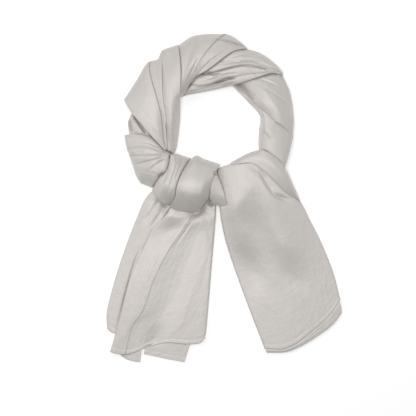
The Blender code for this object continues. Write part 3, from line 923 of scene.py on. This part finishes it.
stretches["ring_top"] = Stretch(
    RING_CROWN, puff=0.07, curl=1.5, gather=(1.2, 5.2), over=("ring_crossing",), folds=(
        Fold(((120, 267), (111, 278), (92, 294), (71, 306), (50, 312), (32, 320)),
             (0.66, 0.50, 0.46, 0.46, 0.46)),
        Fold(((121, 265), (101, 280), (76, 295), (50, 301), (23, 305), (8, 311)),
             (0.68, 0.64, 0.66, 0.68, 0.68)),
        Fold(((122, 263), (97, 275), (69, 284), (38, 286), (-4, 286), (-21, 293)),
             (0.70, 0.78, 0.84, 0.86, 0.84), sharp=True),
        Fold(((122, 260), (101, 270), (80, 271), (50, 278), (13, 272), (-38, 260), (-50, 265)),
             (0.70, 0.84, 0.92, 0.88, 0.74), (-1.0, -6.0)),
        Fold(((122, 258), (100, 265), (78, 261), (40, 257), (-4, 245), (-40, 235), (-80, 240)),
             (0.70, 0.82, 0.82, 0.74, 0.58), (-0.6, -5.0)),
        Fold(((123, 256), (100, 261), (69, 251), (44, 243), (19, 236), (-19, 227), (-71, 217), (-92, 212)),
             (0.70, 0.78, 0.66, 0.50, 0.44)),
    ))
creases["ring_top"] = (
    Crease(((111, 267), (80, 278), (59, 285), (34, 284), (-20, 277)), 2.0, 2.0, 1.4),
    Crease(((113, 264), (69, 273), (34, 276), (-1, 268), (-38, 258)), 2.4, 2.0, 1.4),
    Crease(((113, 269), (88, 288), (59, 297), (29, 295), (4, 286)), 2.0, 2.0, -1.4),
    Crease(((111, 273), (92, 293), (67, 304), (48, 307)), 1.7, 2.0, -1.2),
    Crease(((34, 260), (4, 257), (-25, 247), (-55, 239)), 2.4, 2.0, 1.2),
    Crease(((25, 251), (6, 250), (-15, 242), (-40, 234), (-80, 230)), 4.1, 1.8, 2.0),
    Crease(((8, 240), (-25, 232), (-59, 225), (-84, 221)), 2.4, 1.8, 1.4),
    Crease(((-60, 263), (-46, 262), (-28, 260), (-2, 255)), 11.0, 2.2),
    Crease(((-26, 239), (-8, 243), (6, 248), (28, 252)), 10.0, 2.2),
    Crease(((-84, 226), (-72, 238), (-58, 250)), 4.0, 2.4),
)
stretches["ring_right"] = Stretch(
    RING_CROWN, puff=0.04, curl=1.5, gather=(0.5, 9.0), over=("ring_top", "tail_right_roll"), folds=(
        Fold(((116, 269), (129, 244), (138, 223), (143, 199)), (0.55, 0.50, 0.48, 0.46)),
        Fold(((44, 253), (67, 234), (92, 218), (118, 205), (144, 192)), (0.55, 0.80, 0.90, 0.82, 0.48)),
        Fold(((32, 248), (59, 223), (84, 202), (116, 183), (146, 162)), (0.52, 0.74, 0.96, 0.94, 0.58)),
        Fold(((21, 243), (51, 214), (69, 193), (93, 173), (107, 159), (124, 147), (144, 129)),
             (0.46, 0.58, 0.76, 0.88, 0.92, 0.84, 0.62), (5.0, 1.4)),
        Fold(((17, 242), (55, 208), (79, 178), (86, 150), (94, 130), (106, 112), (135, 89)),
             (0.42, 0.50, 0.70, 0.92, 0.96, 0.91, 0.76)),
        Fold(((16, 240), (53, 204), (77, 174), (77, 142), (78, 118), (86, 98), (102, 86), (129, 70)),
             (0.40, 0.42, 0.48, 0.56, 0.80, 0.88, 0.80)),
        Fold(((15, 238), (51, 201), (75, 172), (73, 140), (72, 112), (76, 92), (90, 72), (120, 55)),
             (0.38, 0.38, 0.40, 0.44, 0.56, 0.76, 0.74)),
    ))
creases["ring_right"] = (
    Crease(((48, 248), (75, 234), (99, 221), (136, 199)), 2.0, 2.0, 1.2),
    Crease(((71, 250), (92, 243), (117, 232)), 1.4, 2.4, 0.8),
    Crease(((0, 266), (24, 243), (44, 225), (66, 200)), 15.0, 6.2),
    Crease(((70, 158), (80, 140), (92, 126), (106, 116)), 3.0, 2.2),
    Crease(((105, 159), (124, 147), (138, 133)), 1.6, 2.0, 0.8),
    Crease(((79, 100), (104, 87), (124, 72)), 1.6, 2.2, 0.8),
)
swells["ring_right"] = (
    Swell(42, 240, 20, 7, -25, -4.0),
)
stretches["ring_back"] = Stretch(
    RING_CROWN, puff=0.08, curl=1.2, gather=(0.6, 5.0), over=("ring_left", "ring_lower_left"), folds=(
        Fold(((-191, 185), (-200, 164), (-201, 150), (-197, 127)), (0.28, 0.32, 0.32, 0.30)),
        Fold(((-182, 177), (-190, 160), (-188, 141), (-182, 120)), (0.34, 0.38, 0.38, 0.34), (1.6, 1.6)),
        Fold(((-170, 167), (-172, 150), (-166, 135), (-158, 118)), (0.36, 0.42, 0.42, 0.36)),
        Fold(((-158, 152), (-151, 140), (-141, 127), (-132, 110)), (0.30, 0.32, 0.32, 0.30)),
    ))
creases["ring_back"] = (
    Crease(((-200, 184), (-197, 158), (-190, 130)), 10.0, 2.6, 0.6),
    Crease(((-189, 176), (-174, 152), (-160, 130)), 10.0, 2.6, 0.6),
)
stretches["ring_lower_left"] = Stretch(
    RING_CROWN, puff=0.07, curl=1.2, gather=(0.8, 6.0), over=("knot_left", "ring_left"), folds=(
        Fold(((-118, 100), (-139, 118), (-155, 130), (-181, 134), (-194, 135), (-209, 132)),
             (0.48, 0.60, 0.58, 0.52, 0.46)),
        Fold(((-109, 94), (-134, 102), (-160, 106), (-181, 104), (-203, 102)), (0.66, 0.80, 0.85, 0.76, 0.48),
             sharp=True),
        Fold(((-107, 88), (-134, 89), (-155, 89), (-174, 89), (-198, 90)), (0.80, 0.91, 0.97, 0.84, 0.48),
             (1.6, 0.8)),
        Fold(((-107, 78), (-134, 78), (-155, 76), (-174, 72), (-192, 71)),
             (0.82, 0.93, 0.99, 0.84, 0.48), sharp=True),
        Fold(((-111, 66), (-134, 60), (-155, 53), (-170, 50), (-184, 47)), (0.86, 0.88, 0.86, 0.72, 0.48)),
        Fold(((-112, 52), (-124, 43), (-136, 32), (-148, 22), (-162, 27), (-175, 32)),
             (0.84, 0.76, 0.60, 0.44, 0.42)),
    ))
creases["ring_lower_left"] = (
    Crease(((-118, 95), (-143, 102), (-169, 107), (-202, 102)), 2.1, 1.5, 1.0),
    Crease(((-118, 90), (-145, 90), (-176, 89)), 2.1, 1.5, 1.0),
    Crease(((-119, 87), (-151, 79), (-187, 70)), 1.5, 1.6, -1.2),
    Crease(((-118, 96), (-155, 114), (-189, 118)), 1.5, 1.6, 1.0),
    Crease(((-120, 83), (-145, 68), (-166, 49)), 1.5, 2.2, -1.0),
)
swells["ring_lower_left"] = (
    Swell(-132, 47, 5.5, 3.2, 35, -7.0),
)

# The right tail
# Four layers of the cloth hanging from the knot as one broad smooth panel. It rolls over at the ring's
# end, and its long sides are folds, with a narrow sewn hem across its end.

stretches["tail_right_roll"] = Stretch(RING_CROWN, puff=0.02, curl=0.5, gather=(0.4, 12.0), folds=(
    Fold(((14, 75), (47, 93), (70, 100), (82, 100), (104, 87), (127, 64), (143, 32), (157, 1)),
         (0.66, 0.80, 0.92, 0.82, 0.44)),
    Fold(((15, 72), (49, 83), (76, 83), (97, 74), (116, 57), (134, 30), (158, -3)),
         (0.76, 0.96, 1.02, 0.84, 0.44)),
    Fold(((16, 69), (51, 74), (72, 66), (93, 48), (105, 36), (128, 13), (159, -6)),
         (0.88, 0.96, 0.93, 0.72, 0.40)),
))
stretches["tail_right_panel"] = Stretch(
    TAIL_CROWN, puff=0.01, curl=2.0, gather=(0.35, 22.0),
    over=("knot_front", "knot_tuck", "tail_right_roll"), folds=(
        Fold(((-16, 62), (-12, 20), (-10, -16), (-3, -64), (10, -113), (46, -214), (85, -315)),
             (1.40, 1.40, 1.05, 0.66, 0.52, 0.50, 0.46)),
        Fold(((4, 69), (14, 28), (25, -14), (36, -60), (49, -108), (83, -203), (116, -317)),
             (2.05, 2.32, 1.72, 0.84, 0.56, 0.51, 0.50)),
        Fold(((27, 77), (43, 34), (59, -12), (73, -57), (88, -103), (120, -193), (145, -308)),
             (2.42, 2.52, 1.64, 0.96, 0.63, 0.54, 0.50)),
        Fold(((59, 80), (76, 37), (92, -10), (108, -53), (126, -98), (158, -180), (183, -280)),
             (2.46, 2.46, 1.96, 1.34, 0.78, 0.58, 0.50)),
        Fold(((88, 68), (108, 31), (126, -8), (144, -50), (164, -93), (195, -167), (219, -248)),
             (2.36, 2.06, 1.56, 1.06, 0.68, 0.54, 0.48)),
        Fold(((116, 47), (138, 20), (160, -6), (181, -47), (202, -88), (229, -155), (244, -213)),
             (1.80, 1.30, 0.90, 0.60, 0.50, 0.46, 0.46)),
    ), round=4.0, hem=True)
creases["tail_right_panel"] = (
    Crease(((70, 66), (80, 46), (92, 25), (106, 6), (124, -2), (146, -16)), 2.6, 4.0, -0.8),
)
swells["tail_right_panel"] = (
    Swell(100, 26, 24, 8, -50, -2.0),
    Swell(122, 1, 14, 5, -20, -2.0),
    Swell(128, -100, 40, 20, -50, 2.2),
    Swell(60, -60, 30, 16, -60, -1.6),
    Swell(26, -14, 26, 16, 70, 2.4),
    Swell(58, -152, 48, 23, -70, -4.0),
    Swell(50, 26, 22, 14, -60, 1.6),
    Swell(66, 62, 30, 8, -38, -2.0),
    Swell(150, -170, 34, 18, -40, -1.4),
    Swell(78, -204, 30, 18, -70, 0.9),
)
stretches["tail_right_under"] = Stretch(TAIL_CROWN, gather=(0.2, 12.0), over=("tail_right_panel",), folds=(
    Fold(((82, -303), (113, -305), (141, -297), (177, -270), (211, -240), (237, -205)), (0.47, 0.52, 0.47)),
    Fold(((88, -319), (120, -320), (149, -309), (184, -288), (223, -256), (246, -228)), (0.42, 0.45, 0.42)),
    Fold(((90, -324), (127, -323), (152, -315), (189, -294), (227, -266), (247, -240)), (0.32, 0.36, 0.32)),
), single=True)

# The left tail
# The other end of the scarf, with one long soft pleat down its middle and an outer layer at its left. It has
# the same hem, and two more layers show below it.

stretches["tail_left_panel"] = Stretch(
    TAIL_CROWN, puff=0.01, curl=1.2, gather=(0.35, 14.0),
    over=("knot_front", "knot_left", "knot_tuck"), folds=(
        Fold(((-106, -4), (-119, -31), (-133, -46), (-147, -60), (-161, -87), (-196, -165), (-217, -245),
              (-239, -322)), (1.15, 1.00, 0.80, 0.74, 0.78, 0.74, 0.60, 0.46)),
        Fold(((-88, -6), (-126, -83), (-164, -165), (-191, -245), (-224, -326)),
             (1.25, 1.08, 0.72, 0.88, 0.92, 0.88, 0.82, 0.70, 0.50)),
        Fold(((-58, -6), (-66, -32), (-82, -58), (-100, -84), (-121, -117), (-149, -176), (-171, -235),
              (-194, -272), (-208, -328)),
             (1.30, 0.96, 0.84, 0.84, 0.82, 0.80, 0.74, 0.62, 0.48), (-2.4, -2.0)),
        Fold(((-44, -2), (-61, -88), (-92, -178), (-128, -245), (-162, -313)),
             (1.25, 0.74, 0.42, 0.36, 0.36, 0.36, 0.36, 0.38, 0.42)),
        Fold(((-36, 4), (-38, -98), (-59, -182), (-86, -251), (-118, -303)),
             (1.30, 1.06, 0.72, 0.66, 0.65, 0.63, 0.60, 0.55, 0.48)),
        Fold(((-30, 10), (-32, -98), (-46, -182), (-60, -256), (-74, -306)),
             (1.30, 1.08, 0.74, 0.63, 0.59, 0.54, 0.49)),
        Fold(((-24, 14), (-25, -77), (-36, -182), (-46, -262), (-52, -304)),
             (1.26, 1.04, 0.76, 0.65, 0.60, 0.55, 0.49)),
        Fold(((-16, 12), (-18, -50), (-26, -146), (-36, -266), (-40, -293)),
             (1.02, 0.92, 0.72, 0.62, 0.58, 0.53, 0.48)),
    ), round=4.0, hem=True)
creases["tail_left_panel"] = (
    Crease(((-44, 8), (-60, -34), (-86, -76), (-112, -112)), 1.2, 2.0),
)
swells["tail_left_panel"] = (
    Swell(-80, -29, 30, 6, 8, -3.0),
    Swell(-56, -28, 18, 9, 34, -13.0),
    Swell(-27, -9, 8, 6, 60, -13.0),
    Swell(-110, -34, 18, 9, 15, 2.6),
    Swell(-112, -64, 24, 14, 20, -2.6),
    Swell(-32, -27, 12, 9, -10, -4.0),
    Swell(-50, -68, 18, 12, 20, -0.7),
    Swell(-148, -302, 34, 17, 65, -4.5),
)
stretches["tail_left_outer"] = Stretch(
    TAIL_CROWN, puff=0.01, curl=1.4, gather=(0.3, 14.0),
    over=("knot_front", "knot_left", "tail_left_panel", "ring_lower_left"), folds=(
        Fold(((-139, 24), (-164, 1), (-187, -50), (-212, -117), (-233, -184), (-246, -239), (-245, -274)),
             (0.80, 0.42, 0.34, 0.32, 0.32)),
        Fold(((-124, 7), (-155, -39), (-178, -88), (-206, -182), (-229, -245), (-237, -280)),
             (1.20, 0.70, 0.46, 0.38, 0.32)),
        Fold(((-102, -4), (-130, -50), (-158, -109), (-189, -193), (-206, -245), (-222, -286)),
             (1.00, 0.60, 0.40, 0.32, 0.30)),
    ), round=4.0, hem=True)
creases["tail_left_outer"] = (
    Crease(((-172, -92), (-189, -140), (-203, -190), (-215, -236), (-229, -292)), 2.4, 2.6),
    Crease(((-126, 14), (-148, -24), (-176, -62)), 2.6, 5.0),
    Crease(((-112, 4), (-134, -32), (-158, -68)), 2.0, 3.6),
)
swells["tail_left_outer"] = (
    Swell(-124, -13, 9, 4, -10, -6.0),
    Swell(-126, -18, 24, 12, -25, -5.5),
)
stretches["tail_left_under"] = Stretch(TAIL_CROWN, gather=(0.2, 12.0), over=("tail_left_panel",), folds=(
    Fold(((-164, -300), (-140, -294), (-118, -290), (-92, -292), (-68, -294)), (0.38, 0.40, 0.38)),
    Fold(((-168, -327), (-147, -331), (-126, -336), (-104, -340), (-83, -344)), (0.14, 0.20, 0.14)),
), single=True)
stretches["tail_left_corner"] = Stretch(TAIL_CROWN, gather=(0.2, 12.0), over=("tail_left_panel",), folds=(
    Fold(((-222, -312), (-205, -314), (-188, -308), (-171, -302)), (0.34, 0.34, 0.36)),
    Fold(((-216, -331), (-204, -338), (-190, -342), (-176, -344)), (0.14, 0.18, 0.14)),
), single=True)

# The scarf, put together
# Each stretch is made after those that lie on it, so that it can be let down under their edges. All are
# one cloth, so each is held folded.

order = []


def put_after(name):
    """The stretches in order, each after those that lie on it."""
    for upper in stretches[name].over:
        put_after(upper)
    if name not in order:
        order.append(name)


for name in stretches:
    put_after(name)

for name in order:
    made, long_mm = layer(name) if stretches[name].single else heap(name)
    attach(made, "root")
    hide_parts(name)

# The hem stitches
# One row of straight lockstitch in polyester thread along each hem, half sunk into the cloth, 10 mm in from
# the edge.

# A stitch's length, the pitch from one to the next, the thread's width, and how far a stitch's middle
# stands over the cloth, in mm
STITCH = 2.2
STITCH_PITCH = 2.8
THREAD = 0.36
STITCH_LIFT = 0.05

# polyester sewing thread, a little lighter than the satin
thread = bpy.data.materials.new("sewing_thread")
thread.use_nodes = True
tree = thread.node_tree
ply = node(tree, "ShaderNodeTexWave", {"Scale": 900.0, "Distortion": 1.0}, bands_direction="DIAGONAL")
ply_bump = node(tree, "ShaderNodeBump", {
    "Height": ply.outputs["Fac"], "Strength": 0.6, "Distance": 0.05 * MM})
tree.links.new(ply_bump.outputs["Normal"], tree.nodes["Principled BSDF"].inputs["Normal"])
tree.nodes["Principled BSDF"].inputs["Base Color"].default_value = linear("#D4CFCA")
tree.nodes["Principled BSDF"].inputs["Roughness"].default_value = 0.5

stitching = bpy.data.node_groups.new("stitching", "GeometryNodeTree")
stitching.interface.new_socket("Geometry", in_out="INPUT", socket_type="NodeSocketGeometry")
sizes = {label: stitching.interface.new_socket(label, in_out="INPUT", socket_type="NodeSocketFloat")
         for label in ("Pitch", "Stitch", "Thread")}
stitching.interface.new_socket("Geometry", in_out="OUTPUT", socket_type="NodeSocketGeometry")
given = node(stitching, "NodeGroupInput")
line = node(stitching, "GeometryNodeMeshToCurve", {"Mesh": given.outputs["Geometry"]})
spaced = node(stitching, "GeometryNodeResampleCurve", {"Curve": line.outputs["Curve"],
                                                       "Length": given.outputs["Pitch"]}, mode="LENGTH")
bead = node(stitching, "GeometryNodeMeshUVSphere", {"Segments": 8, "Rings": 6, "Radius": 0.5})
size = node(stitching, "ShaderNodeCombineXYZ", {
    "X": given.outputs["Stitch"], "Y": given.outputs["Thread"], "Z": given.outputs["Thread"]})
stitch = node(stitching, "GeometryNodeTransform", {
    "Geometry": bead.outputs["Mesh"], "Scale": size.outputs["Vector"]})
heading = node(stitching, "GeometryNodeInputTangent")
turned = node(stitching, "FunctionNodeAlignRotationToVector",
              {"Vector": heading.outputs["Tangent"]}, axis="X")
row = node(stitching, "GeometryNodeInstanceOnPoints", {
    "Points": spaced.outputs["Curve"], "Instance": stitch.outputs["Geometry"],
    "Rotation": turned.outputs["Rotation"]})
real = node(stitching, "GeometryNodeRealizeInstances", {"Geometry": row.outputs["Instances"]})
coloured = node(stitching, "GeometryNodeSetMaterial",
                {"Geometry": real.outputs["Geometry"], "Material": thread})
node(stitching, "NodeGroupOutput", {"Geometry": coloured.outputs["Geometry"]})

for name, points in hem_lines.items():
    mesh = bpy.data.meshes.new(name + "_stitches")
    mesh.from_pydata([(x * MM, y * MM, (z + STITCH_LIFT) * MM) for x, y, z in points],
                     [(n, n + 1) for n in range(len(points) - 1)], [])
    obj = bpy.data.objects.new(name + "_stitches", mesh)
    bpy.context.scene.collection.objects.link(obj)
    sewn = obj.modifiers.new("stitching", "NODES")
    sewn.node_group = stitching
    for label, measure in (("Pitch", STITCH_PITCH), ("Stitch", STITCH), ("Thread", THREAD)):
        sewn[sizes[label].identifier] = measure * MM
    made = bpy.data.meshes.new_from_object(obj.evaluated_get(bpy.context.evaluated_depsgraph_get()))
    obj.modifiers.remove(sewn)
    obj.data = made
    made.shade_smooth()
    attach(obj, "root")
